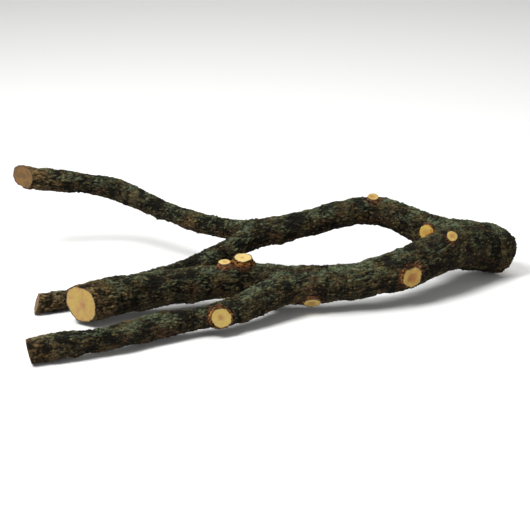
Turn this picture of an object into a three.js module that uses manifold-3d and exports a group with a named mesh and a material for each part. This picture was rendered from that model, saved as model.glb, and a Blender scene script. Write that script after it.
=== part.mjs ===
// A fallen tree branch, sawn off at the butt and at its four tips, lying on the ground.
// Millimetres, +Z up. +X runs from the tips to the butt, and the ground is z = 0.
import * as THREE from 'three';
import { mergeVertices } from 'three/addons/utils/BufferGeometryUtils.js';
import Module from 'manifold-3d';

const wasm = await Module();
wasm.setup();

const SIDES = 18; // flats round a limb
const RING_STEP = 11; // distance between two rings of a limb
const GAP = 0.3; // clearance between two pieces of the branch
const CUTTER = 1200; // side of the boxes that cut, wider than the branch
const LUMP_SHARE = 0.035; // how far a limb's surface leaves a round section, of its radius
const LUMP_LENGTH = 34; // length of one swelling along a limb

// Each limb: [x, y, z, radius] where its middle line passes, from its butt side to its tip.
const STEM = [
  [296, 4, 20, 26.5],
  [280, -2, 25, 27],
  [256, -9, 33, 27.5],
  [231, -17, 41, 27.5],
  [208, -28, 48, 26],
  [196, -32, 50, 20],
];
const BACK_LIMB = [
  [240, -14, 38, 23],
  [209, -23, 50, 24],
  [189, -13, 58, 21],
  [166, 5, 68, 16.5],
  [135, 26, 76, 17],
  [97, 28, 74, 15.5],
  [60, 30, 66, 15],
  [27, 37, 58, 16.5],
  [-2, 50, 52, 16.5],
  [-14, 55, 50, 11],
];
const HIGH_TWIG = [
  [16, 45, 54, 15],
  [-7, 59, 52, 13.5],
  [-24, 71, 52, 12],
  [-56, 95, 55, 11.5],
  [-87, 130, 61, 11],
  [-118, 166, 69, 12.5],
  [-139, 188, 75, 13],
  [-169, 198, 80, 12.5],
  [-207, 201, 86, 13],
  [-262, 206, 96, 13],
];
const LOW_TWIG = [
  [18, 42, 55, 14],
  [-13, 38, 47, 13.5],
  [-39, 25, 41, 12.5],
  [-75, 10, 34, 11.5],
  [-113, 2, 26, 11.5],
  [-153, 1, 19, 11],
  [-198, -2, 13, 11],
  [-276, -14, 9.8, 11],
];
const FRONT_LIMB = [
  [236, -18, 40, 22],
  [203, -41, 47, 24.5],
  [174, -58, 44, 23.5],
  [143, -69, 38, 22.5],
  [104, -77, 33, 20.5],
  [68, -77, 30, 20.5],
  [32, -73, 29, 21],
  [4, -66, 29, 21],
  [-8, -62, 29, 14],
];
const THICK_LIMB = [
  [24, -72, 29, 19],
  [-7, -55, 29, 20],
  [-31, -42, 29, 19],
  [-67, -37, 28, 18.5],
  [-104, -41, 28, 19.5],
  [-139, -43, 27, 20.5],
  [-172, -46, 26, 20.5],
  [-246, -72, 24, 21.5],
];
const NEAR_TWIG = [
  [24, -72, 28, 17],
  [-10, -87, 28, 17],
  [-37, -102, 25, 16],
  [-67, -113, 21, 14.5],
  [-102, -116, 18, 12.5],
  [-147, -126, 16.5, 14.2],
  [-193, -143, 16, 13],
  [-227, -150, 16, 12.5],
  [-252, -151, 15, 14],
  [-306, -158, 11.5, 13.5],
];

// Sawn ends: a point on the cut and the way that the cut faces.
const BUTT_CUT = { point: [279, -2, 25], facing: [0.95, 0.27, -0.28] };
const HIGH_CUT = { point: [-243, 204, 93], facing: [-0.8, -0.6, 0.1] };
const LOW_CUT = { point: [-259, -12, 10.5], facing: [-0.95, 0.02, 0.3] };
const THICK_CUT = { point: [-219, -60, 25], facing: [-0.774, -0.632, -0.02] };
const NEAR_CUT = { point: [-287, -156, 14], facing: [-0.97, 0.1, -0.22] };

// Where the branch divides: the plane across the parent limb, and the plane between its two children.
const STEM_FORK = {
  across: { point: [190, -35, 61], facing: [0.95, -0.15, -0.25] },
  between: { point: [178, -43, 60], facing: [0.3, 0.95, 0] },
};
const BACK_FORK = {
  across: { point: [2, 48, 53], facing: [0.95, -0.25, 0.2] },
  between: { point: [2, 48, 53], facing: [0.2, 0.97, 0.1] },
};
const FRONT_FORK = {
  across: { point: [4, -68, 29], facing: [1, 0, 0] },
  between: { point: [4, -68, 29], facing: [-0.1, 1, 0] },
};

// Knots, where a side branch was sawn off. along: distance down the limb's middle line. turn: degrees
// from the limb's top towards -Y at which the knot stands. look: the same, for the way that its sawn
// face looks, where that differs. foot: how far from the middle line it starts, as a share of the
// limb's radius. reach: from there to the sawn face.
const KNOTS = {
  backLimb: [
    { along: 39.5, turn: 82.5, foot: 1.2, look: 45, reach: 21, radius: 5.8 },
    { along: 59, turn: 78, foot: 0.7, look: 66, reach: 9.5, radius: 8.6 },
    { along: 131, turn: 18, reach: 19, radius: 6 },
  ],
  frontLimb: [
    { along: 115, turn: 93, reach: 24.5, radius: 13.2 },
    { along: 220, turn: 136, reach: 22, radius: 9 },
  ],
  thickLimb: [
    { along: 66, turn: 12, reach: 29, radius: 10.8 },
    { along: 87, turn: 6, reach: 23.5, radius: 6.3 },
  ],
  nearTwig: [{ along: 115, turn: 82, reach: 18.5, radius: 11.6 }],
};
const KNOT_SIDES = 16;
const KNOT_FLARE = 1.2; // the collar round a knot's foot, of the face's radius

// Buds: low bumps where a shoot never grew, measured like the knots.
const BUDS = {
  highTwig: [
    { along: 142, turn: 165, reach: 14.5, radius: 5 },
    { along: 214, turn: 170, reach: 15.5, radius: 5.5 },
  ],
  nearTwig: [
    { along: 276, turn: 168, reach: 15.5, radius: 4.5 },
    { along: 277, turn: 2, reach: 15.5, radius: 5.5 },
  ],
};
const BUD_STEPS = 4;

const colour = { bark: 0x393d30 };

function solidOf(geometry) {
  geometry.deleteAttribute('normal');
  geometry.deleteAttribute('uv');
  const merged = mergeVertices(geometry, 1e-4);
  return new wasm.Manifold(new wasm.Mesh({
    numProp: 3,
    vertProperties: new Float32Array(merged.attributes.position.array),
    triVerts: new Uint32Array(merged.index.array),
  }));
}

function geometryOf(solid) {
  const mesh = solid.getMesh();
  const geometry = new THREE.BufferGeometry();
  geometry.setAttribute('position', new THREE.BufferAttribute(mesh.vertProperties, 3));
  geometry.setIndex(new THREE.BufferAttribute(mesh.triVerts, 1));
  geometry.computeVertexNormals();
  return geometry;
}

const vector = (xyz) => new THREE.Vector3(...xyz);

function middleLine(stations) {
  const points = stations.map(([x, y, z]) => new THREE.Vector3(x, y, z));
  return new THREE.CatmullRomCurve3(points, false, 'centripetal');
}

// The radius at a share of the limb's length, eased between the stations on both sides.
function radiusAt(stations, curve, share) {
  const place = curve.getUtoTmapping(share) * (stations.length - 1);
  const before = Math.min(Math.floor(place), stations.length - 2);
  const radius = (index) => stations[index][3];
  const eased = THREE.MathUtils.smoothstep(place - before, 0, 1);
  return THREE.MathUtils.lerp(radius(before), radius(before + 1), eased);
}

// A turned, tapering bar bent along its middle line, with swellings that wander round it.
function limb(stations, seed) {
  const curve = middleLine(stations);
  const length = curve.getLength();
  const rings = Math.round(length / RING_STEP);
  const profile = [new THREE.Vector2(0, 0)];
  for (let ring = 0; ring <= rings; ring += 1) {
    profile.push(new THREE.Vector2(radiusAt(stations, curve, ring / rings), ring));
  }
  profile.push(new THREE.Vector2(0, rings));
  const bar = new THREE.LatheGeometry(profile, SIDES);
  const frames = curve.computeFrenetFrames(rings);
  const at = bar.attributes.position;
  for (let index = 0; index < at.count; index += 1) {
    const ring = Math.round(at.getY(index));
    const turn = Math.atan2(at.getZ(index), at.getX(index));
    const along = (ring / rings) * (length / LUMP_LENGTH) + seed;
    const lumps = Math.sin(2 * turn + 2.1 * along) + Math.sin(3 * turn - 3.7 * along);
    const radius = Math.hypot(at.getX(index), at.getZ(index)) * (1 + LUMP_SHARE * lumps);
    const point = curve.getPointAt(ring / rings);
    point.addScaledVector(frames.normals[ring], radius * Math.sin(turn));
    point.addScaledVector(frames.binormals[ring], radius * Math.cos(turn));
    at.setXYZ(index, point.x, point.y, point.z);
  }
  return solidOf(bar);
}

// Where a knot or a bud stands: its foot, and the direction that it looks.
function standing(stations, { along, turn, look = turn, foot = 0 }) {
  const curve = middleLine(stations);
  const share = along / curve.getLength();
  const ahead = curve.getTangentAt(share);
  const up = new THREE.Vector3(0, 0, 1).addScaledVector(ahead, -ahead.z).normalize();
  const side = new THREE.Vector3().crossVectors(up, ahead);
  const pointing = (degrees) => {
    const angle = THREE.MathUtils.degToRad(degrees);
    return up.clone().multiplyScalar(Math.cos(angle)).addScaledVector(side, Math.sin(angle));
  };
  const start = curve.getPointAt(share);
  start.addScaledVector(pointing(turn), foot * radiusAt(stations, curve, share));
  return { start, direction: pointing(look) };
}

// A turned profile, [radius, height] pairs from the foot up, stood on the limb.
function stood(stations, place, pairs) {
  const profile = pairs.map(([radius, height]) => new THREE.Vector2(radius, height));
  const shape = new THREE.LatheGeometry(profile, KNOT_SIDES);
  const { start, direction } = standing(stations, place);
  shape.applyQuaternion(new THREE.Quaternion().setFromUnitVectors(new THREE.Vector3(0, 1, 0), direction));
  shape.translate(start.x, start.y, start.z);
  return solidOf(shape);
}

function knot(stations, place) {
  const { radius, reach } = place;
  return stood(stations, place, [
    [0, 0],
    [radius * 0.8, 0],
    [radius * KNOT_FLARE, reach * 0.6],
    [radius, reach],
    [0, reach],
  ]);
}

function bud(stations, place) {
  const { radius, reach } = place;
  const pairs = [[0, 0], [radius, 0]];
  for (let step = 0; step <= BUD_STEPS; step += 1) {
    const angle = (step / BUD_STEPS) * (Math.PI / 2);
    pairs.push([radius * Math.cos(angle), reach - radius + radius * Math.sin(angle)]);
  }
  pairs[pairs.length - 1][0] = 0;
  return stood(stations, place, pairs);
}

// Half of space as a box: all that lies beyond the point in the given direction.
function beyond(point, direction) {
  const facing = vector(direction).normalize();
  const box = new THREE.BoxGeometry(CUTTER, CUTTER, CUTTER);
  box.translate(0, 0, CUTTER / 2);
  box.applyQuaternion(new THREE.Quaternion().setFromUnitVectors(new THREE.Vector3(0, 0, 1), facing));
  box.translate(...point);
  return solidOf(box);
}

function sawn(solid, cut) {
  return solid.subtract(beyond(cut.point, cut.facing));
}

// Keeps the side that a fork's plane faces, short of the plane by half the clearance.
function keep(solid, { point, facing }) {
  const start = vector(point).addScaledVector(vector(facing).normalize(), GAP / 2);
  return solid.intersect(beyond(start.toArray(), facing));
}

const turned = ({ point, facing }) => ({ point, facing: facing.map((part) => -part) });
const parentSide = (solid, { across }) => keep(solid, across);
const firstChild = (solid, { across, between }) => keep(keep(solid, turned(across)), between);
const secondChild = (solid, { across, between }) => keep(keep(solid, turned(across)), turned(between));

// A limb with its knots and buds.
function grown(stations, seed, { knots = [], buds = [] } = {}) {
  let solid = limb(stations, seed);
  for (const place of knots) solid = solid.add(knot(stations, place));
  for (const place of buds) solid = solid.add(bud(stations, place));
  return solid;
}

const stem = sawn(grown(STEM, 0.4), BUTT_CUT);
const backLimb = grown(BACK_LIMB, 1.3, { knots: KNOTS.backLimb });
const frontLimb = grown(FRONT_LIMB, 2.2, { knots: KNOTS.frontLimb });
const highTwig = sawn(grown(HIGH_TWIG, 3.1, { buds: BUDS.highTwig }), HIGH_CUT);
const lowTwig = sawn(grown(LOW_TWIG, 4.6), LOW_CUT);
const thickLimb = sawn(grown(THICK_LIMB, 5.2, { knots: KNOTS.thickLimb }), THICK_CUT);
const nearTwig = sawn(grown(NEAR_TWIG, 6.5, { knots: KNOTS.nearTwig, buds: BUDS.nearTwig }), NEAR_CUT);

const atStemFork = stem.add(backLimb).add(frontLimb);
const atBackFork = backLimb.add(highTwig).add(lowTwig);
const atFrontFork = frontLimb.add(thickLimb).add(nearTwig);

const pieces = {
  stem: parentSide(atStemFork, STEM_FORK),
  back_limb: parentSide(firstChild(atStemFork.add(atBackFork), STEM_FORK), BACK_FORK),
  front_limb: parentSide(secondChild(atStemFork.add(atFrontFork), STEM_FORK), FRONT_FORK),
  high_twig: firstChild(atBackFork, BACK_FORK),
  low_twig: secondChild(atBackFork, BACK_FORK),
  thick_limb: firstChild(atFrontFork, FRONT_FORK),
  near_twig: secondChild(atFrontFork, FRONT_FORK),
};

const branch = new THREE.Group();
for (const [name, solid] of Object.entries(pieces)) {
  const bark = new THREE.MeshStandardMaterial({ color: colour.bark, roughness: 0.9, metalness: 0 });
  const piece = new THREE.Mesh(geometryOf(solid), bark);
  piece.name = name;
  branch.add(piece);
}

// The origin is under the middle of the whole branch, on the ground.
const box = new THREE.Box3().setFromObject(branch);
const middle = box.getCenter(new THREE.Vector3());
branch.position.set(-middle.x, -middle.y, -box.min.z);

export default branch;
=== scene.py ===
"""A fallen tree branch: rough dark bark, sawn ends and sawn knots, lying on a pale floor. Metres."""
import math

import bpy
import bmesh
import numpy as np
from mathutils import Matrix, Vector
from mathutils.bvhtree import BVHTree


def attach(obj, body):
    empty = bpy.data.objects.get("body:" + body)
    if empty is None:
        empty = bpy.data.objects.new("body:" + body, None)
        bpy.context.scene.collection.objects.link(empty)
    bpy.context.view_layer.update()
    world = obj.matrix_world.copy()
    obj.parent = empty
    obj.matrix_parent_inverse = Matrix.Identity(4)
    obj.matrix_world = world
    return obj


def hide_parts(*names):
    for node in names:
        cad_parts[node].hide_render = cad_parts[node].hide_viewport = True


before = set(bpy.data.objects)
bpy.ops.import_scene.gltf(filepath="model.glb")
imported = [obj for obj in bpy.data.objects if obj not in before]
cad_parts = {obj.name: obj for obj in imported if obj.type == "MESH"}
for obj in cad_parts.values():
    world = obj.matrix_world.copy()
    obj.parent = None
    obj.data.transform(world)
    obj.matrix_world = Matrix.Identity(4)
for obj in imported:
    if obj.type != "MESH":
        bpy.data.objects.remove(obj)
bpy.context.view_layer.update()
bpy.ops.object.select_all(action="DESELECT")

MM = 0.001
PER_METRE = (1000, 1000, 1000)  # turns metres into millimetres for the patterns
SAP_SHIFT = (37.0, 0, 91.0)  # moves each next sap line's pattern on, so that no two limbs match

# The limbs as the sap ran, each from its butt side to its tip.
SAP_LINES = (
    ("stem", "front_limb", "thick_limb"),
    ("back_limb", "high_twig"),
    ("low_twig",),
    ("near_twig",),
)
NODES = [name for line in SAP_LINES for name in line]
FORKS = (
    ("stem", "front_limb", "back_limb"),
    ("back_limb", "high_twig", "low_twig"),
    ("front_limb", "thick_limb", "near_twig"),
)
# How each sawn face of a node looks, from the widest to the narrowest.
CUT_LOOKS = {
    "stem": ("dark end", "pale knot"),  # dark: weathered wood, and no browner bark next to it
    "front_limb": ("orange knot", "pale knot"),
    "thick_limb": ("fresh end", "bright knot", "bright knot"),
    "back_limb": ("yellow knot", "pale knot"),
    "high_twig": ("old end",),
    "low_twig": ("old end",),
    "near_twig": ("old end", "pale knot"),
}
FACE_SIDES = 9  # a flat face with at least this many sides was sawn, or is a fork's
FACE_AREA = 80 * MM * MM  # and it is at least this large
WELD = 0.001 * MM
FLAT_WITHIN = math.radians(0.4)
OPPOSED = -0.999  # the cosine between two faces that look at each other
FORK_GAP = 0.6 * MM  # two flat faces nearer than this meet at a fork
GROUND = 0.1 * MM  # the lowest that bark reaches
STUB_LENGTH = 5 * MM  # left on every sawn face, then sawn off through the grown bark
STUB_ROOM = STUB_LENGTH * 1.6  # what has to be free in front of a face for a stub
RAY_START = 0.5 * MM
STUB_SLACK = 1.0 * MM  # how far short of the sawn plane a face may be and still be cut
STUB_SPREAD = 1.3  # how much wider than the CAD's face a grown stub may be
STUB_MARGIN = 2 * MM
PLUG_SUNK = 1.8 * MM  # how far the bark stops short of a knot that has no stub
PLUG_RADIUS = 10 * MM  # a knot narrower than this is a plug of its own, a little proud of its bark
PLUG_DEPTH = 5 * MM
PLUG_EDGE = 0.6  # millimetres by which a proud knot's dark edge is narrower
TIP_LENGTH = 32.0  # millimetres of browner bark next to a sawn end
TIP_SPREAD = 1.5
TIP_SLACK = 2
COLLAR_REACH = 5.5  # millimetres of browner bark round a knot
CORE_VOXEL = 2.95 * MM
SAME_PLACE = 0.2 * MM
LINE_STEP = 6 * MM
SMOOTH_PASSES = 4
LINE_GRIP = 7  # how sharply the bark changes over from one sap line to another at a fork


# ---------------------------------------------------------------- camera, light and floor

# The camera, its lens and sensor in millimetres, and the room.
LENS = 133.4
SENSOR = 36
CAMERA_TURN = math.radians(14)
CAMERA_RISE = math.radians(19)
CAMERA_DISTANCE = 2.2
CAMERA_TARGET = Vector((0.0001, -0.0243, 0.0307))
BRANCH_MIDDLE = (0, 0, 0.03)
ROOM_LIGHT = 0.3
FLOOR_SIZE = 16
FLOOR_COLOUR = (0.86, 0.86, 0.85, 1)


def aim(thing, place, target):
    thing.location = place
    thing.rotation_euler = (Vector(target) - Vector(place)).to_track_quat("-Z", "Y").to_euler()


def make_camera():
    camera = bpy.data.objects.new("camera", bpy.data.cameras.new("camera"))
    bpy.context.collection.objects.link(camera)
    camera.data.lens = LENS
    camera.data.sensor_width = SENSOR
    level = math.cos(CAMERA_RISE)
    back = Vector((-math.sin(CAMERA_TURN) * level, -math.cos(CAMERA_TURN) * level, math.sin(CAMERA_RISE)))
    aim(camera, CAMERA_TARGET + back * CAMERA_DISTANCE, CAMERA_TARGET)
    bpy.context.scene.camera = camera


def area_light(name, place, target, size, watts):
    light = bpy.data.lights.new(name, "AREA")
    light.shape = "DISK"
    light.size = size
    light.energy = watts
    holder = bpy.data.objects.new(name, light)
    bpy.context.collection.objects.link(holder)
    aim(holder, place, target)


def make_studio():
    area_light("key", (-1.0, -0.5, 1.7), BRANCH_MIDDLE, 0.9, 40)
    area_light("overhead", (0.2, 0.4, 2.0), (0, 0, 0), 1.4, 24)
    area_light("fill", (0.9, -2.0, 0.9), BRANCH_MIDDLE, 1.2, 5)
    world = bpy.data.worlds.new("room")
    bpy.context.scene.world = world
    world.use_nodes = True
    world.node_tree.nodes["Background"].inputs["Color"].default_value = (1, 1, 1, 1)
    world.node_tree.nodes["Background"].inputs["Strength"].default_value = ROOM_LIGHT
    bpy.ops.mesh.primitive_plane_add(size=FLOOR_SIZE, location=(0, 2, 0))
    floor = bpy.context.active_object
    floor.name = "floor"
    paint = bpy.data.materials.new("pale floor")
    paint.use_nodes = True
    shader = paint.node_tree.nodes["Principled BSDF"]
    shader.inputs["Base Color"].default_value = FLOOR_COLOUR
    shader.inputs["Roughness"].default_value = 0.8
    floor.data.materials.append(paint)
    floor.select_set(False)
    bpy.context.scene.view_settings.view_transform = "Standard"


# ---------------------------------------------------------------- the core of the branch

def only(thing):
    bpy.ops.object.select_all(action="DESELECT")
    thing.select_set(True)
    bpy.context.view_layer.objects.active = thing


def core_copy(node):
    """A welded copy of a CAD node, its flat faces each one polygon."""
    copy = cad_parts[node].copy()
    copy.data = copy.data.copy()
    copy.parent = None
    for key in list(copy.keys()):
        del copy[key]
    copy.name = node + "_core"
    bpy.context.collection.objects.link(copy)
    copy.data.materials.clear()
    only(copy)
    bpy.ops.object.mode_set(mode="EDIT")
    bpy.ops.mesh.select_all(action="SELECT")
    bpy.ops.mesh.remove_doubles(threshold=WELD)
    bpy.ops.mesh.dissolve_limited(angle_limit=FLAT_WITHIN)
    bpy.ops.object.mode_set(mode="OBJECT")
    return copy


def flat_faces(cores):
    """Every large flat face: which node it is on, its centre, normal, radius and outline."""
    found = []
    for node, core in cores.items():
        for face in core.data.polygons:
            if len(face.vertices) >= FACE_SIDES and face.area > FACE_AREA:
                found.append({
                    "node": node,
                    "centre": face.center.copy(),
                    "normal": face.normal.copy(),
                    "radius": math.sqrt(face.area / math.pi),
                    "outline": [core.data.vertices[i].co.copy() for i in face.vertices],
                })
    return found


def no_room(face, cores):
    """Whether another limb stands in the way of a stub on this face."""
    for core in cores.values():
        corners = [vert.co for vert in core.data.vertices]
        tree = BVHTree.FromPolygons(corners, [list(part.vertices) for part in core.data.polygons])
        for point in face["outline"]:
            start = point + face["normal"] * RAY_START
            if tree.ray_cast(start, face["normal"], STUB_ROOM)[0] is not None:
                return True
    return False


def meets(face, other):
    """Whether two flat faces of different cores face each other across a fork's gap."""
    offset = other["centre"] - face["centre"]
    opposed = other["normal"].dot(face["normal"]) < OPPOSED
    level = abs(offset.dot(face["normal"])) < FORK_GAP
    near = offset.length < 1.5 * max(face["radius"], other["radius"])
    return face["node"] != other["node"] and opposed and level and near


def middle_line(core):
    """The middle and half height of slices across X through a core, from its butt side to its tip."""
    points = np.empty(len(core.data.vertices) * 3)
    core.data.vertices.foreach_get("co", points)
    points = points.reshape(-1, 3)
    pairs = np.empty(len(core.data.edges) * 2, dtype=int)
    core.data.edges.foreach_get("vertices", pairs)
    ends = points[pairs.reshape(-1, 2)]
    low, high = ends[:, :, 0].min(), ends[:, :, 0].max()
    middles = []
    for x in np.arange(high - LINE_STEP, low + LINE_STEP, -LINE_STEP):
        crossing = (ends[:, 0, 0] - x) * (ends[:, 1, 0] - x) < 0
        start, end = ends[crossing, 0], ends[crossing, 1]
        share = (x - start[:, 0]) / (end[:, 0] - start[:, 0])
        cut = start + (end - start) * share[:, None]
        y, z = (cut.min(0) + cut.max(0))[1:] / 2
        middles.append((x, y, z, (cut[:, 2].max() - cut[:, 2].min()) / 2))
    return middles


def sap_line(cores, names):
    """One smooth middle line through the named cores, as points and radii."""
    stations = np.array([station for name in names for station in middle_line(cores[name])])
    for _ in range(SMOOTH_PASSES):
        stations[1:-1] = (stations[:-2] + 2 * stations[1:-1] + stations[2:]) / 4
    return stations[:, :3], stations[:, 3]


def along_line(points, line, radii):
    """Each point with its limb straightened (side, up, along), and how many radii off the line it is."""
    steps = np.diff(line, axis=0)
    lengths = np.linalg.norm(steps, axis=1)
    starts = np.concatenate([[0], np.cumsum(lengths)])
    free = np.einsum("vsk,sk->vs", points[:, None] - line[None, :-1], steps) / lengths**2
    held = np.clip(free, 0, 1)
    nearest = line[None, :-1] + held[..., None] * steps[None]
    gaps = np.linalg.norm(points[:, None] - nearest, axis=2)
    best = gaps.argmin(1)
    row = np.arange(len(points))
    share = free[row, best]
    share = np.where((best > 0) & (share < 0), 0, share)
    share = np.where((best < len(steps) - 1) & (share > 1), 1, share)
    ahead = np.gradient(line, axis=0)
    blend = np.clip(share, 0, 1)[:, None]
    tangent = ahead[best] * (1 - blend) + ahead[best + 1] * blend
    tangent /= np.linalg.norm(tangent, axis=1, keepdims=True)
    up = np.array([0, 0, 1.0]) - tangent * tangent[:, 2:]
    up /= np.linalg.norm(up, axis=1, keepdims=True)
    side = np.cross(up, tangent)
    off = points - (line[best] + share[:, None] * steps[best])
    straight = np.stack([
        np.einsum("vk,vk->v", off, side),
        np.einsum("vk,vk->v", off, up),
        starts[best] + share * lengths[best],
    ], axis=1)
    return straight, gaps[row, best] / radii[best]


def write_attribute(mesh, name, kind, values):
    layer = mesh.attributes.new(name, kind, "POINT")
    field = "vector" if kind == "FLOAT_VECTOR" else "value"
    layer.data.foreach_set(field, np.ascontiguousarray(values, dtype=np.float32).ravel())


def mark_sap_lines(core, lines):
    """Stores each point's straightened place on every sap line, and its share in each."""
    points = np.empty(len(core.data.vertices) * 3)
    core.data.vertices.foreach_get("co", points)
    points = points.reshape(-1, 3)
    placed = [along_line(points, *line) for line in lines]
    radii_off = np.stack([off for _, off in placed])
    nearness = np.exp(-(radii_off - radii_off.min(0)) * LINE_GRIP)
    shares = nearness / nearness.sum(0)
    for index, (straight, _) in enumerate(placed):
        write_attribute(core.data, f"sap_{index}", "FLOAT_VECTOR", straight / MM)
        write_attribute(core.data, f"share_{index}", "FLOAT", shares[index])


def pull_out(core, face, distance):
    """Extrudes one flat face of a core along its normal."""
    only(core)
    bpy.ops.object.mode_set(mode="EDIT")
    bpy.ops.mesh.select_mode(type="FACE")
    bpy.ops.mesh.select_all(action="DESELECT")
    editing = bmesh.from_edit_mesh(core.data)
    for candidate in editing.faces:
        offset = candidate.calc_center_median() - face["centre"]
        candidate.select = offset.length < SAME_PLACE and len(candidate.verts) >= FACE_SIDES
    bmesh.update_edit_mesh(core.data)
    bpy.ops.mesh.extrude_region_move(TRANSFORM_OT_translate={"value": face["normal"] * distance})
    bpy.ops.object.mode_set(mode="OBJECT")


def apply_modifier(thing, kind, **settings):
    only(thing)
    modifier = thing.modifiers.new(kind.lower(), kind)
    for name, value in settings.items():
        setattr(modifier, name, value)
    bpy.ops.object.modifier_apply(modifier=modifier.name)


def fuse(cores, faces):
    """Joins the cores across the forks into one smooth branch with a stub left on every sawn face."""
    for face in faces:
        length = FORK_GAP if face["fork"] else -PLUG_SUNK if face["tight"] else STUB_LENGTH
        pull_out(cores[face["node"]], face, length)
    bpy.ops.object.select_all(action="DESELECT")
    for core in cores.values():
        core.select_set(True)
    branch = cores["stem"]
    bpy.context.view_layer.objects.active = branch
    bpy.ops.object.join()
    branch.name = "branch"
    apply_modifier(branch, "REMESH", mode="VOXEL", voxel_size=CORE_VOXEL)
    apply_modifier(branch, "SMOOTH", factor=0.5, iterations=6)
    return branch


# ---------------------------------------------------------------- bark relief, by geometry nodes

class Wiring:
    """Adds nodes to a tree and wires them, a node at a time."""

    def __init__(self, tree):
        self.tree = tree

    def node(self, kind, inputs=(), **settings):
        made = self.tree.nodes.new(kind)
        for name, value in settings.items():
            setattr(made, name, value)
        for name, value in dict(inputs).items():
            self.plug(value, made.inputs[name])
        return made

    def plug(self, value, socket):
        if isinstance(value, bpy.types.NodeSocket):
            self.tree.links.new(value, socket)
        else:
            socket.default_value = value

    def maths(self, operation, first, second=None, third=None, clamp=False):
        made = self.tree.nodes.new("ShaderNodeMath")
        made.operation = operation
        made.use_clamp = clamp
        for index, value in enumerate((first, second, third)):
            if value is not None:
                self.plug(value, made.inputs[index])
        return made.outputs[0]

    def stretch(self, vector, scale):
        made = self.node("ShaderNodeVectorMath", {0: vector, 1: scale}, operation="MULTIPLY")
        return made.outputs[0]

    def noise(self, vector, scale, detail=2.0, roughness=0.5, distortion=0.0):
        made = self.node("ShaderNodeTexNoise", {
            "Vector": vector, "Scale": scale, "Detail": detail,
            "Roughness": roughness, "Distortion": distortion,
        })
        return made.outputs[0]

    def cells(self, vector, scale):
        made = self.node("ShaderNodeTexVoronoi", {"Vector": vector, "Scale": scale})
        return made.outputs["Distance"]

    def ramp(self, value, low, high):
        """0 at low, 1 at high, eased between."""
        ends = {0: value, 1: low, 2: high, 3: 0.0, 4: 1.0}
        return self.node("ShaderNodeMapRange", ends, interpolation_type="SMOOTHSTEP").outputs[0]


def socket(tree, name, way, kind="NodeSocketFloat"):
    return tree.interface.new_socket(name=name, in_out=way, socket_type=kind)


# The bark's relief, a layer at a time: how many to a millimetre, how high in millimetres, and what
# its place is multiplied by along or across the limb to draw it out that way.
LUMPS, LUMP_HEIGHT = 0.055, 5.0
RIDGES, RIDGE_HEIGHT, RIDGE_ALONG = 0.24, 1.15, 0.34
CRINKLES, CRINKLE_HEIGHT, CRINKLE_ALONG = 0.36, 3.8, 0.75
WRINKLES, WRINKLE_HEIGHT, WRINKLE_ACROSS = 0.42, 3.2, 0.16
WRINKLE_PATCHES = 0.035
WARTS, WART_HEIGHT, WART_ALONG = 0.13, 0.6, 0.8
BARK_SUNK = 0.8  # so that the relief grows round the CAD's surface and not outside it


def centred(wire, value, height):
    """A noise of 0 to 1 as a height on both sides of 0."""
    return wire.maths("MULTIPLY_ADD", value, height, -height / 2)


def make_relief_group():
    """Height of the bark in millimetres at a straightened place, also in millimetres."""
    tree = bpy.data.node_groups.new("bark relief", "GeometryNodeTree")
    socket(tree, "Place", "INPUT", "NodeSocketVector")
    socket(tree, "Height", "OUTPUT")
    wire = Wiring(tree)
    place = wire.node("NodeGroupInput").outputs["Place"]
    lumps = centred(wire, wire.noise(place, LUMPS, 1.0), LUMP_HEIGHT)
    grain = wire.noise(wire.stretch(place, (1, 1, RIDGE_ALONG)), RIDGES, 3.0, 0.62, 0.6)
    ridges = wire.maths("ABSOLUTE", centred(wire, grain, 2.0))
    ridges = wire.maths("MULTIPLY", wire.ramp(ridges, 0.0, 0.22), RIDGE_HEIGHT)
    crinkles = wire.noise(wire.stretch(place, (1, 1, CRINKLE_ALONG)), CRINKLES, 3.0, 0.65, 0.5)
    crinkles = centred(wire, crinkles, CRINKLE_HEIGHT)
    across = wire.stretch(place, (WRINKLE_ACROSS, WRINKLE_ACROSS, 1))
    wrinkles = centred(wire, wire.noise(across, WRINKLES, 2.0, 0.5, 0.4), WRINKLE_HEIGHT)
    wrinkled = wire.ramp(wire.noise(place, WRINKLE_PATCHES, 1.0), 0.48, 0.62)
    wrinkles = wire.maths("MULTIPLY", wrinkles, wrinkled)
    warts = wire.cells(wire.stretch(place, (1, 1, WART_ALONG)), WARTS)
    warts = wire.maths("MULTIPLY", wire.ramp(warts, 0.26, 0.08), WART_HEIGHT)
    height = lumps
    for layer in (ridges, crinkles, wrinkles, warts):
        height = wire.maths("ADD", height, layer)
    height = wire.maths("SUBTRACT", height, BARK_SUNK)
    out = wire.node("NodeGroupOutput")
    wire.plug(height, out.inputs["Height"])
    return tree


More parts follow.
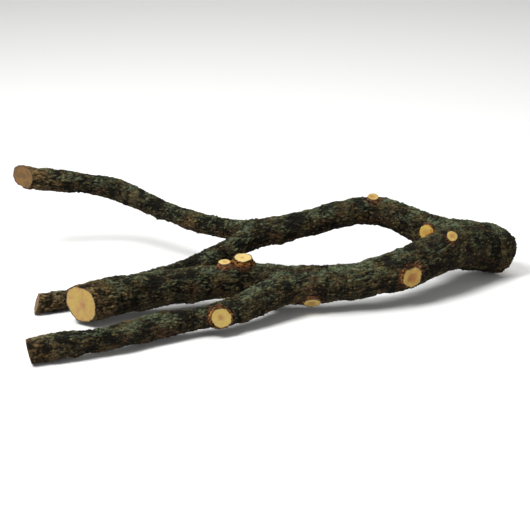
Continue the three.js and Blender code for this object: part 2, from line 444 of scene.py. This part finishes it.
def grow_bark(branch):
    """Raises the bark's relief along each limb and keeps its height for the colours, among them the painted
    shade in the crevices.
    """
    relief = make_relief_group()
    tree = bpy.data.node_groups.new("grow bark", "GeometryNodeTree")
    socket(tree, "Geometry", "INPUT", "NodeSocketGeometry")
    socket(tree, "Geometry", "OUTPUT", "NodeSocketGeometry")
    wire = Wiring(tree)
    height = 0.0
    for index in range(len(SAP_LINES)):
        place = wire.node("GeometryNodeInputNamedAttribute", data_type="FLOAT_VECTOR")
        place.inputs["Name"].default_value = f"sap_{index}"
        share = wire.node("GeometryNodeInputNamedAttribute", data_type="FLOAT")
        share.inputs["Name"].default_value = f"share_{index}"
        moved = tuple(part * index for part in SAP_SHIFT)
        shift = wire.node("ShaderNodeVectorMath", {0: place.outputs[0], 1: moved}, operation="ADD")
        raised = wire.node("GeometryNodeGroup", node_tree=relief)
        wire.plug(shift.outputs[0], raised.inputs["Place"])
        height = wire.maths("MULTIPLY_ADD", raised.outputs["Height"], share.outputs[0], height)
    start = wire.node("NodeGroupInput").outputs["Geometry"]
    normal = wire.node("GeometryNodeInputNormal").outputs[0]
    store = wire.node("GeometryNodeStoreNamedAttribute", {"Geometry": start, "Name": "relief", "Value": height})
    metres = wire.maths("MULTIPLY", height, MM)
    push = wire.node("ShaderNodeVectorMath", {0: normal, "Scale": metres}, operation="SCALE")
    move = wire.node("GeometryNodeSetPosition", {"Geometry": store.outputs[0], "Offset": push.outputs[0]})
    end = wire.node("NodeGroupOutput")
    wire.plug(move.outputs[0], end.inputs["Geometry"])
    only(branch)
    modifier = branch.modifiers.new("bark", "NODES")
    modifier.node_group = tree
    bpy.ops.object.modifier_apply(modifier=modifier.name)


def settle(branch):
    """Flattens the few bark scales that would reach below the ground."""
    points = np.empty(len(branch.data.vertices) * 3)
    branch.data.vertices.foreach_get("co", points)
    points = points.reshape(-1, 3)
    points[:, 2] = np.maximum(points[:, 2], GROUND)
    branch.data.vertices.foreach_set("co", points.ravel())
    branch.data.update()


# ---------------------------------------------------------------- sawing the stubs off


def with_edges_and_points(faces):
    """Faces with their edges and points, each once and always in the same order."""
    edges = dict.fromkeys(edge for part in faces for edge in part.edges)
    verts = dict.fromkeys(vert for part in faces for vert in part.verts)
    return [*faces, *edges, *verts]


def stub_beyond(start, face, others):
    """The faces of a stub beyond its sawn plane, found from its tip inwards, short of the other stubs."""
    found, fresh = {start: True}, [start]
    while fresh:
        here = fresh.pop()
        for beside in (beside for edge in here.edges for beside in edge.link_faces):
            if beside in found:
                continue
            middle = beside.calc_center_median()
            height = (middle - face["centre"]).dot(face["normal"])
            across = (middle - face["centre"] - face["normal"] * height).length
            in_reach = height > -STUB_SLACK and across < face["radius"] * STUB_SPREAD + STUB_MARGIN
            rival = any(
                (middle - other["centre"]).length / other["radius"] < across / face["radius"]
                for other in others)
            if in_reach and not rival:
                found[beside] = True
                fresh.append(beside)
    return list(found)


def close_by(face, other):
    return (other["centre"] - face["centre"]).length < (other["radius"] + face["radius"]) * 2


def in_order(edges):
    """The points of a loop of edges, in order round it."""
    beside = {}
    for edge in edges:
        for vert in edge.verts:
            beside.setdefault(vert, []).append(edge)
    loops = []
    unused = dict.fromkeys(edges)
    while unused:
        edge = unused.popitem()[0]
        first, vert = edge.verts
        loop = [first, vert]
        while vert is not first:
            onward = [e for e in beside[vert] if e in unused]
            if not onward:
                break
            del unused[onward[0]]
            vert = onward[0].other_vert(vert)
            loop.append(vert)
        loops.append(loop[:-1])
    return [vert.co.copy() for vert in max(loops, key=len)]


def saw(branch, sawn):
    """Saws every stub off at its plane, and keeps the outline of each cut."""
    editing = bmesh.new()
    editing.from_mesh(branch.data)
    tree = BVHTree.FromBMesh(editing)
    editing.faces.ensure_lookup_table()
    stubs = []
    for face in sawn:
        _, _, index, _ = tree.find_nearest(face["centre"] + face["normal"] * STUB_LENGTH)
        others = [other for other in sawn if other is not face and close_by(face, other)]
        stubs.append(stub_beyond(editing.faces[index], face, others))
    for face, stub in zip(sawn, stubs):
        stub = [part for part in stub if part.is_valid]
        cut = bmesh.ops.bisect_plane(
            editing, geom=with_edges_and_points(stub), plane_co=face["centre"], plane_no=face["normal"],
            clear_outer=True)
        edges = [part for part in cut["geom_cut"] if isinstance(part, bmesh.types.BMEdge)]
        rim = [edge for edge in edges if edge.is_boundary]
        face["outline"] = in_order(rim)
    editing.to_mesh(branch.data)
    editing.free()


def mark_cuts(branch, sawn):
    """How near each point is to a knot, as 'collar', and to a sawn end, as 'tip', both from 0 to 1."""
    mesh = branch.data
    points = np.empty(len(mesh.vertices) * 3)
    mesh.vertices.foreach_get("co", points)
    points = points.reshape(-1, 3) / MM
    collar = np.zeros(len(points))
    tip = np.zeros(len(points))
    for face in sawn:
        if face["look"] == "dark end":
            continue
        offset = points - np.array(face["centre"]) / MM
        radius = face["radius"] / MM
        height = -offset @ np.array(face["normal"])
        if face["look"].endswith("end"):
            near = np.linalg.norm(offset, axis=1) < radius * TIP_SPREAD + TIP_LENGTH
            share = np.clip(1 - height / TIP_LENGTH, 0, 1) * near * (height > -TIP_SLACK)
            tip = np.maximum(tip, share)
        else:
            gap = np.maximum(np.linalg.norm(offset, axis=1) - radius, 0)
            collar = np.maximum(collar, np.exp(-(gap / COLLAR_REACH) ** 2))
    write_attribute(mesh, "collar", "FLOAT", collar)
    write_attribute(mesh, "tip", "FLOAT", tip)


# ---------------------------------------------------------------- dividing the branch at its forks

CUT_REACH = 1.9  # how far round a fork's face the surface is cut, in radii
FORK_REACH = 2.2  # how far round it the two planes decide on the piece
RIM_REACH = 2.0
RIM_WIDTH = 0.6 * MM  # how far from a fork's plane an open edge still belongs to it


def opposing(faces, node, other):
    """The fork face of one node that meets one of the other node's."""
    for face in faces:
        if not face["fork"] or face["node"] != node:
            continue
        for mate in faces:
            if mate["fork"] and mate["node"] == other and meets(face, mate):
                return face
    return None


def find_forks(faces):
    forks = []
    for parent, first, second in FORKS:
        forks.append({
            "across": opposing(faces, parent, first),
            "between": opposing(faces, first, second),
            "nodes": (parent, first, second),
        })
    return forks


def divide(branch, forks):
    """Cuts the surface along the fork planes and gives each face its node's number as a material."""
    editing = bmesh.new()
    editing.from_mesh(branch.data)
    for fork in forks:
        for plane in (fork["across"], fork["between"]):
            reach = plane["radius"] * CUT_REACH
            near = [f for f in editing.faces if (f.calc_center_median() - plane["centre"]).length < reach]
            bmesh.ops.bisect_plane(
                editing, geom=with_edges_and_points(near), plane_co=plane["centre"], plane_no=plane["normal"])
    editing.to_mesh(branch.data)
    editing.free()


def node_numbers(branch, forks):
    """Which node each face of the branch belongs to."""
    mesh = branch.data
    centres = np.empty(len(mesh.polygons) * 3)
    mesh.polygons.foreach_get("center", centres)
    centres = centres.reshape(-1, 3)
    first_corner = np.empty(len(mesh.polygons), dtype=int)
    mesh.polygons.foreach_get("loop_start", first_corner)
    corner_point = np.empty(len(mesh.loops), dtype=int)
    mesh.loops.foreach_get("vertex_index", corner_point)
    shares = []
    for index in range(len(SAP_LINES)):
        values = np.empty(len(mesh.vertices))
        mesh.attributes[f"share_{index}"].data.foreach_get("value", values)
        shares.append(values[corner_point[first_corner]])
    line = np.stack(shares).argmax(0)
    number = np.zeros(len(centres), dtype=int)
    for index, names in enumerate(SAP_LINES):
        number[line == index] = NODES.index(names[0])
        for fork in forks:
            parent = fork["nodes"][0]
            later = [name for name in fork["nodes"][1:] if name in names]
            if parent in names and later:
                plane = fork["across"]
                past = (centres - np.array(plane["centre"])) @ np.array(plane["normal"]) > 0
                earlier = number == NODES.index(parent)
                number[(line == index) & past & earlier] = NODES.index(later[0])
    for fork in forks:
        across, between = fork["across"], fork["between"]
        offset = centres - np.array(across["centre"])
        near = np.linalg.norm(offset, axis=1) < across["radius"] * FORK_REACH
        past = offset @ np.array(across["normal"]) > 0
        over = (centres - np.array(between["centre"])) @ np.array(between["normal"]) > 0
        parent, first, second = (NODES.index(name) for name in fork["nodes"])
        number[near & ~past] = parent
        number[near & past & ~over] = first
        number[near & past & over] = second
    return number


def separate(branch, forks):
    """Makes one closed piece per node, with the whole branch's normals so that no joint shows."""
    mesh = branch.data
    number = node_numbers(branch, forks)
    normals = np.empty(len(mesh.vertices) * 3)
    mesh.vertex_normals.foreach_get("vector", normals)
    write_attribute(mesh, "grown_normal", "FLOAT_VECTOR", normals)
    for node in NODES:
        mesh.materials.append(bpy.data.materials.new(node))
    mesh.polygons.foreach_set("material_index", number)
    only(branch)
    bpy.ops.object.mode_set(mode="EDIT")
    bpy.ops.mesh.separate(type="MATERIAL")
    bpy.ops.object.mode_set(mode="OBJECT")
    pieces = {}
    for piece in list(bpy.context.selected_objects):
        used = np.empty(len(piece.data.polygons), dtype=int)
        piece.data.polygons.foreach_get("material_index", used)
        node = piece.data.materials[int(used[0])].name
        piece.name = node + "_bark"
        piece.data.materials.clear()
        close_forks(piece, [fork for fork in forks if node in fork["nodes"]])
        pieces[node] = piece
    return pieces


def close_forks(piece, forks):
    """Fills the hidden ends at the forks with flat faces and sharp rims."""
    planes = [plane for fork in forks for plane in (fork["across"], fork["between"])]
    mesh = piece.data
    bark_faces = len(mesh.polygons)
    editing = bmesh.new()
    editing.from_mesh(mesh)

    def on_fork(edge):
        middle = (edge.verts[0].co + edge.verts[1].co) / 2
        return any(
            abs((middle - plane["centre"]).dot(plane["normal"])) < RIM_WIDTH
            and (middle - plane["centre"]).length < plane["radius"] * RIM_REACH
            for plane in planes)

    open_edges = [edge for edge in editing.edges if edge.is_boundary and on_fork(edge)]
    made = bmesh.ops.holes_fill(editing, edges=open_edges, sides=0)["faces"]
    bmesh.ops.triangulate(editing, faces=made)
    for edge in open_edges:
        edge.smooth = False
    editing.to_mesh(mesh)
    editing.free()
    keep_grown_normals(mesh, bark_faces)


def keep_grown_normals(mesh, bark_faces):
    grown = np.empty(len(mesh.vertices) * 3)
    mesh.attributes["grown_normal"].data.foreach_get("vector", grown)
    corner_point = np.empty(len(mesh.loops), dtype=int)
    mesh.loops.foreach_get("vertex_index", corner_point)
    corners = grown.reshape(-1, 3)[corner_point]
    for face in mesh.polygons[bark_faces:]:
        corners[face.loop_start:face.loop_start + face.loop_total] = face.normal
    mesh.polygons.foreach_set("use_smooth", np.ones(len(mesh.polygons), dtype=bool))
    mesh.normals_split_custom_set(corners)
    mesh.attributes.remove(mesh.attributes["grown_normal"])


# ---------------------------------------------------------------- the sawn faces

PLUG_STEP = 0.7 * MM  # between two points of a plug's outline
PLUG_WIDER = 1.06  # a plug is this much wider than the CAD's face
WOOD_STEP = 1.0 * MM  # between two rings of points on a sawn face
OFF_CENTRE = 0.16  # how far the pith is off the middle, in radii
PITH_TURN = 2.4  # radians from one cut's pith to the next one's
SETTLING = 0.45  # share of the bark's unevenness that each ring inwards loses


def eased_round(values, width):
    """Averages a closed run of points over a width on both sides."""
    total = np.zeros_like(values)
    for step in range(-width, width + 1):
        total += np.roll(values, step, axis=0)
    return total / (2 * width + 1)


def round_outline(face):
    """The slightly uneven round outline of a plug."""
    normal = face["normal"]
    side = normal.orthogonal().normalized()
    up = normal.cross(side)
    count = int(2 * math.pi * face["radius"] / PLUG_STEP)
    points = []
    for index in range(count):
        angle = 2 * math.pi * index / count
        wobble = 1 + 0.025 * math.sin(3 * angle + 1) + 0.015 * math.sin(7 * angle)
        reach = face["radius"] * PLUG_WIDER * wobble
        points.append(face["centre"] + (side * math.cos(angle) + up * math.sin(angle)) * reach)
    return points


def sawn_face(face, number):
    """The bare wood of one cut, as a disc of rings from its bark edge in to the pith."""
    outline = np.array([list(point) for point in face["outline"]])
    normal = np.array(face["normal"])
    middle = outline.mean(0)
    outline = outline + ((middle - outline) @ normal)[:, None] * normal
    turning = np.cross(outline, np.roll(outline, -1, axis=0)).sum(0) @ normal
    if turning < 0:
        outline = outline[::-1]
    count = len(outline)
    even = eased_round(outline - middle, max(2, count // 14))
    radius = np.linalg.norm(even, axis=1).mean()
    side = np.cross(normal, [0, 0, 1.0])
    side /= np.linalg.norm(side)
    up = np.cross(side, normal)
    turn = number * PITH_TURN
    shift = radius * OFF_CENTRE * (math.cos(turn) * side + math.sin(turn) * up)
    steps = max(6, int(radius / WOOD_STEP))
    points, depth = [], []
    for ring in range(steps):
        share = 1 - ring / steps
        settled = min(1.0, ring * SETTLING)
        radial = (outline - middle) * (1 - settled) + even * settled
        points.append(middle + radial * share + shift * (1 - share) * (ring > 0))
        depth.append(np.full(count, (1 - share) * radius))
    points.append((middle + shift)[None])
    depth.append(np.array([radius]))
    after = [(index + 1) % count for index in range(count)]
    faces = []
    for ring in range(steps - 1):
        for index in range(count):
            outer, inner = ring * count, (ring + 1) * count
            faces.append((outer + index, outer + after[index], inner + after[index], inner + index))
    inner, pith = (steps - 1) * count, steps * count
    faces += [(inner + index, inner + after[index], pith) for index in range(count)]
    if face["tight"]:
        depth = [values + PLUG_EDGE * MM for values in depth]
        foot = len(np.concatenate(points))
        points.append(outline - normal * PLUG_DEPTH)
        depth.append(np.zeros(count))
        faces += [(index, foot + index, foot + after[index], after[index]) for index in range(count)]
    mesh = bpy.data.meshes.new("sawn")
    mesh.from_pydata(np.concatenate(points).tolist(), [], faces)
    write_attribute(mesh, "depth", "FLOAT", np.concatenate(depth) / MM)
    write_attribute(mesh, "pith", "FLOAT", (radius - np.concatenate(depth)) / MM)
    across = np.concatenate(points) - (middle + shift)
    around = np.stack([across @ side, across @ up], axis=1)
    around /= np.maximum(np.linalg.norm(around, axis=1, keepdims=True), 1e-9)
    around = np.concatenate([around, np.linalg.norm(across, axis=1, keepdims=True) / MM], axis=1)
    write_attribute(mesh, "around", "FLOAT_VECTOR", around)
    piece = bpy.data.objects.new("sawn", mesh)
    bpy.context.collection.objects.link(piece)
    mesh.polygons.foreach_set("use_smooth", np.ones(len(mesh.polygons), dtype=bool))
    return piece


# ---------------------------------------------------------------- materials

def shader_group(name, inputs, outputs):
    tree = bpy.data.node_groups.new(name, "ShaderNodeTree")
    for label, kind in inputs:
        socket(tree, label, "INPUT", kind)
    for label, kind in outputs:
        socket(tree, label, "OUTPUT", kind)
    return tree


def mixed(wire, share, first, second):
    made = wire.node("ShaderNodeMix", data_type="RGBA")
    wire.plug(share, made.inputs[0])
    wire.plug(first, made.inputs[6])
    wire.plug(second, made.inputs[7])
    return made.outputs[2]


def tone(red, green, blue):
    """A colour given as 0-255 screen values."""
    def linear(value):
        value /= 255
        return value / 12.92 if value <= 0.04045 else ((value + 0.055) / 1.055) ** 2.4
    return (linear(red), linear(green), linear(blue), 1.0)


BARK_DARK = tone(30, 25, 14)
BARK_OLIVE = tone(66, 58, 34)
# A light grey-green: lichen, and also painted light on the tops of the limbs.
LICHEN_AND_LIT_TOP = tone(76, 86, 64)
BARK_RUST = tone(76, 52, 31)
BARK_FLECK = tone(108, 94, 54)
BARK_MOSS = tone(72, 92, 36)
BARK_TIP = tone(104, 82, 50)
BARK_COLLAR = tone(86, 54, 34)
BARK_RIM = tone(138, 90, 38)
# Near black: painted shade in the bark's crevices and on its undersides, and the bark's own dark edge round a
# sawn face.
PAINTED_SHADE_AND_BARK_EDGE_BLACK = tone(9, 8, 5)
WOOD_LATE = tone(150, 112, 58)
WOOD_EDGE = tone(96, 66, 36)
RING_WANDER = 2.2  # millimetres that a growth ring strays
RING_TURN = 3.9  # radians of a growth ring's light and dark to a millimetre
RAYS = (9, 9, 0.12)
SAW_MARKS = (0.25, 0.5, 2.2)
HEART_WANDER = 5.0
# Each kind of sawn wood: its name, pale wood, heart, the heart's radius in millimetres, stain, and how
# low a noise may be where it is stained.
WOODS = {
    "fresh end": ("fresh sawn wood", tone(182, 154, 78), tone(156, 112, 58), 5.0, tone(176, 122, 84), 0.47),
    "old end": ("weathered sawn wood", tone(112, 80, 30), tone(80, 52, 20), 5.0, tone(66, 44, 20), 0.42),
    "orange knot": ("orange-hearted knot", tone(182, 150, 66), tone(160, 98, 34), 9.0, tone(120, 78, 38), 0.52),
    "yellow knot": ("yellow knot", tone(198, 168, 66), tone(196, 142, 54), 5.0, tone(156, 108, 48), 0.56),
    "pale knot": ("pale knot", tone(190, 164, 84), tone(164, 122, 58), 5.0, tone(146, 104, 54), 0.54),
    "bright knot": ("bright knot", tone(206, 182, 112), tone(184, 142, 72), 3.0, tone(160, 118, 66), 0.56),
}


def make_patch_group():
    """Patches with broken edges: a mask that is 1 inside them."""
    tree = shader_group("broken patches", (
        ("Place", "NodeSocketVector"), ("Scale", "NodeSocketFloat"),
        ("Low", "NodeSocketFloat"), ("High", "NodeSocketFloat"),
    ), (("Mask", "NodeSocketFloat"),))
    wire = Wiring(tree)
    given = wire.node("NodeGroupInput").outputs
    cloud = wire.noise(given["Place"], given["Scale"], 5.0, 0.62, 0.4)
    out = wire.node("NodeGroupOutput")
    wire.plug(wire.ramp(cloud, given["Low"], given["High"]), out.inputs["Mask"])
    return tree


def make_mottle_group():
    """Small light and dark spots laid over a colour."""
    tree = shader_group("mottling", (
        ("Colour", "NodeSocketColor"), ("Place", "NodeSocketVector"),
        ("Scale", "NodeSocketFloat"), ("Dark", "NodeSocketFloat"), ("Light", "NodeSocketFloat"),
    ), (("Colour", "NodeSocketColor"),))
    wire = Wiring(tree)
    given = wire.node("NodeGroupInput").outputs
    spots = wire.ramp(wire.noise(given["Place"], given["Scale"], 3.0, 0.65, 0.3), 0.36, 0.64)
    spread = wire.maths("SUBTRACT", given["Light"], given["Dark"])
    gain = wire.maths("MULTIPLY_ADD", spots, spread, given["Dark"])
    scaled = wire.node("ShaderNodeVectorMath", {0: given["Colour"], "Scale": gain}, operation="SCALE")
    out = wire.node("NodeGroupOutput")
    wire.plug(scaled.outputs[0], out.inputs["Colour"])
    return tree


def patches(wire, group, place, scale, low, high):
    given = {"Place": place, "Scale": scale, "Low": low, "High": high}
    return placed_group(wire, group, given).outputs["Mask"]


def mottled(wire, group, colour, place, scale, dark, light):
    given = {"Colour": colour, "Place": place, "Scale": scale, "Dark": dark, "Light": light}
    return placed_group(wire, group, given).outputs["Colour"]


def placed_group(wire, group, given):
    made = wire.node("ShaderNodeGroup", node_tree=group)
    for name, value in given.items():
        wire.plug(value, made.inputs[name])
    return made


def faded(wire, mask, most):
    """A mask that reaches only this much."""
    return wire.maths("MULTIPLY", mask, most)


def millimetres(wire):
    return wire.stretch(wire.node("ShaderNodeTexCoord").outputs["Object"], PER_METRE)


def attribute(wire, name):
    return wire.node("ShaderNodeAttribute", attribute_name=name).outputs["Fac"]


def make_bark(patch, mottle):
    """Dark crinkled bark: greenish lichen on top, also painted lighter there as if lit from above, rust on the
    sides, brown collars and tips, and painted shade that blackens the crevices and the undersides.
    """
    bark = bpy.data.materials.new("rough bark")
    bark.use_nodes = True
    wire = Wiring(bark.node_tree)
    shader = bark.node_tree.nodes["Principled BSDF"]
    place = millimetres(wire)
    along = wire.stretch(place, (0.55, 1, 1))
    normal = wire.node("ShaderNodeNewGeometry").outputs["Normal"]
    facing = wire.node("ShaderNodeSeparateXYZ", {0: normal}).outputs[2]
    tip = attribute(wire, "tip")
    collar = attribute(wire, "collar")
    # How low the relief lies, used for the roughness and for the painted shade in the crevices.
    deep = wire.ramp(attribute(wire, "relief"), 0.45, -1.0)

    olive = patches(wire, patch, along, scale=0.10, low=0.38, high=0.62)
    lichen_and_top_light = patches(wire, patch, along, scale=0.085, low=0.42, high=0.60)
    # Lichen only on the upper side, which also paints the top lighter as if lit from above.
    lichen_and_top_light = faded(wire, wire.maths("MULTIPLY", wire.ramp(facing, -0.1, 0.9), lichen_and_top_light), 0.85)
    rust = patches(wire, patch, place, scale=0.05, low=0.48, high=0.62)
    rust = faded(wire, wire.maths("MULTIPLY", wire.ramp(facing, 0.8, 0.1), rust), 0.7)
    fleck = patches(wire, patch, along, scale=0.30, low=0.57, high=0.68)
    moss = patches(wire, patch, place, scale=0.23, low=0.68, high=0.74)
    colour = mixed(wire, olive, BARK_DARK, BARK_OLIVE)
    colour = mixed(wire, lichen_and_top_light, colour, LICHEN_AND_LIT_TOP)
    colour = mixed(wire, rust, colour, BARK_RUST)
    colour = mixed(wire, fleck, colour, BARK_FLECK)
    colour = mixed(wire, moss, colour, BARK_MOSS)
    colour = mixed(wire, faded(wire, tip, 0.8), colour, BARK_TIP)
    colour = mixed(wire, faded(wire, wire.ramp(collar, 0.15, 0.8), 0.85), colour, BARK_COLLAR)
    colour = mixed(wire, wire.ramp(collar, 0.82, 0.97), colour, BARK_RIM)
    colour = mottled(wire, mottle, colour, along, scale=0.42, dark=0.35, light=1.8)
    # Painted shade: the lowest places of the relief are darkened nearly to black.
    colour = mixed(wire, faded(wire, deep, 0.93), colour, PAINTED_SHADE_AND_BARK_EDGE_BLACK)
    # Painted shade: faces that look downwards are darkened towards black.
    colour = mixed(wire, faded(wire, wire.ramp(facing, -0.05, -0.8), 0.75), colour, PAINTED_SHADE_AND_BARK_EDGE_BLACK)
    wire.plug(colour, shader.inputs["Base Color"])
    wire.plug(wire.maths("MULTIPLY_ADD", deep, 0.15, 0.8), shader.inputs["Roughness"])
    shader.inputs["Specular IOR Level"].default_value = 0.15

    scales = wire.cells(wire.stretch(place, (0.6, 1, 1)), 0.42)
    fine = wire.maths("MULTIPLY_ADD", wire.noise(along, 0.95, 4.0, 0.65, 0.4), 1.3, scales)
    bump = wire.node("ShaderNodeBump", {"Strength": 0.9, "Distance": 1.1 * MM, "Height": fine})
    wire.plug(bump.outputs[0], shader.inputs["Normal"])
    return bark


def make_wood(patch, mottle, name, pale, heart, heart_size, stain, stain_low):
    """Sawn wood: rings round the pith, rays, saw marks, stains and a dark rim of bark."""
    wood = bpy.data.materials.new(name)
    wood.use_nodes = True
    wire = Wiring(wood.node_tree)
    shader = wood.node_tree.nodes["Principled BSDF"]
    place = millimetres(wire)
    pith = attribute(wire, "pith")
    around = wire.node("ShaderNodeAttribute", attribute_name="around").outputs["Vector"]

    wander = wire.noise(place, 0.16, 2.0)
    turns = wire.maths("MULTIPLY_ADD", wander, RING_WANDER, pith)
    ring = wire.ramp(wire.maths("SINE", faded(wire, turns, RING_TURN)), -0.2, 1.0)
    rays = wire.ramp(wire.noise(wire.stretch(around, RAYS), 1.0, 3.0, 0.6), 0.42, 0.68)
    marks = wire.noise(wire.stretch(place, SAW_MARKS), 0.9, 2.0)
    middle = wire.maths("ADD", pith, centred(wire, wander, HEART_WANDER))
    stained = patches(wire, patch, place, scale=0.11, low=stain_low, high=stain_low + 0.14)
    edge = wire.maths("MULTIPLY_ADD", wire.noise(place, 0.5, 2.0), 0.8, attribute(wire, "depth"))

    colour = mixed(wire, wire.ramp(middle, heart_size, heart_size * 0.25), pale, heart)
    colour = mixed(wire, faded(wire, stained, 0.7), colour, stain)
    colour = mixed(wire, faded(wire, ring, 0.30), colour, WOOD_LATE)
    colour = mixed(wire, faded(wire, rays, 0.22), colour, WOOD_LATE)
    colour = mottled(wire, mottle, colour, place, scale=0.9, dark=0.86, light=1.1)
    colour = mixed(wire, wire.ramp(edge, 1.7, 0.9), colour, WOOD_EDGE)
    colour = mixed(wire, wire.ramp(edge, 1.1, 0.6), colour, PAINTED_SHADE_AND_BARK_EDGE_BLACK)
    wire.plug(colour, shader.inputs["Base Color"])
    wire.plug(wire.maths("MULTIPLY_ADD", rays, 0.15, 0.66), shader.inputs["Roughness"])
    height = wire.maths("ADD", faded(wire, ring, 0.35), wire.maths("SUBTRACT", marks, rays))
    bump = wire.node("ShaderNodeBump", {"Strength": 0.5, "Distance": 0.5 * MM, "Height": height})
    wire.plug(bump.outputs[0], shader.inputs["Normal"])
    return wood


# ---------------------------------------------------------------- the branch

make_camera()
make_studio()
cores = {node: core_copy(node) for node in NODES}
flats = flat_faces(cores)
for flat in flats:
    flat["fork"] = any(meets(flat, other) for other in flats)
sawn = [flat for flat in flats if not flat["fork"]]
for flat in sawn:
    flat["tight"] = flat["radius"] < PLUG_RADIUS or no_room(flat, cores)
for node, looks in CUT_LOOKS.items():
    own = sorted((flat for flat in sawn if flat["node"] == node), key=lambda flat: -flat["radius"])
    for flat, look in zip(own, looks, strict=True):
        flat["look"] = look
forks = find_forks(flats)
lines = [sap_line(cores, names) for names in SAP_LINES]
branch = fuse(cores, flats)
mark_sap_lines(branch, lines)
apply_modifier(branch, "SUBSURF", levels=2, render_levels=2)
grow_bark(branch)
settle(branch)
saw(branch, [face for face in sawn if not face["tight"]])
for face in sawn:
    if face["tight"]:
        face["outline"] = round_outline(face)
mark_cuts(branch, sawn)
divide(branch, forks)
pieces = separate(branch, forks)
patch = make_patch_group()
mottle = make_mottle_group()
bark = make_bark(patch, mottle)
woods = {look: make_wood(patch, mottle, *wood) for look, wood in WOODS.items()}
woods["dark end"] = woods["old end"]
for node, piece in pieces.items():
    piece.data.materials.append(bark)
    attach(piece, "root")
    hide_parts(node)
for number, face in enumerate(sawn):
    piece = sawn_face(face, number)
    piece.name = f"{face['node']}_sawn_{number}"
    piece.data.materials.append(woods[face["look"]])
    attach(piece, "root")
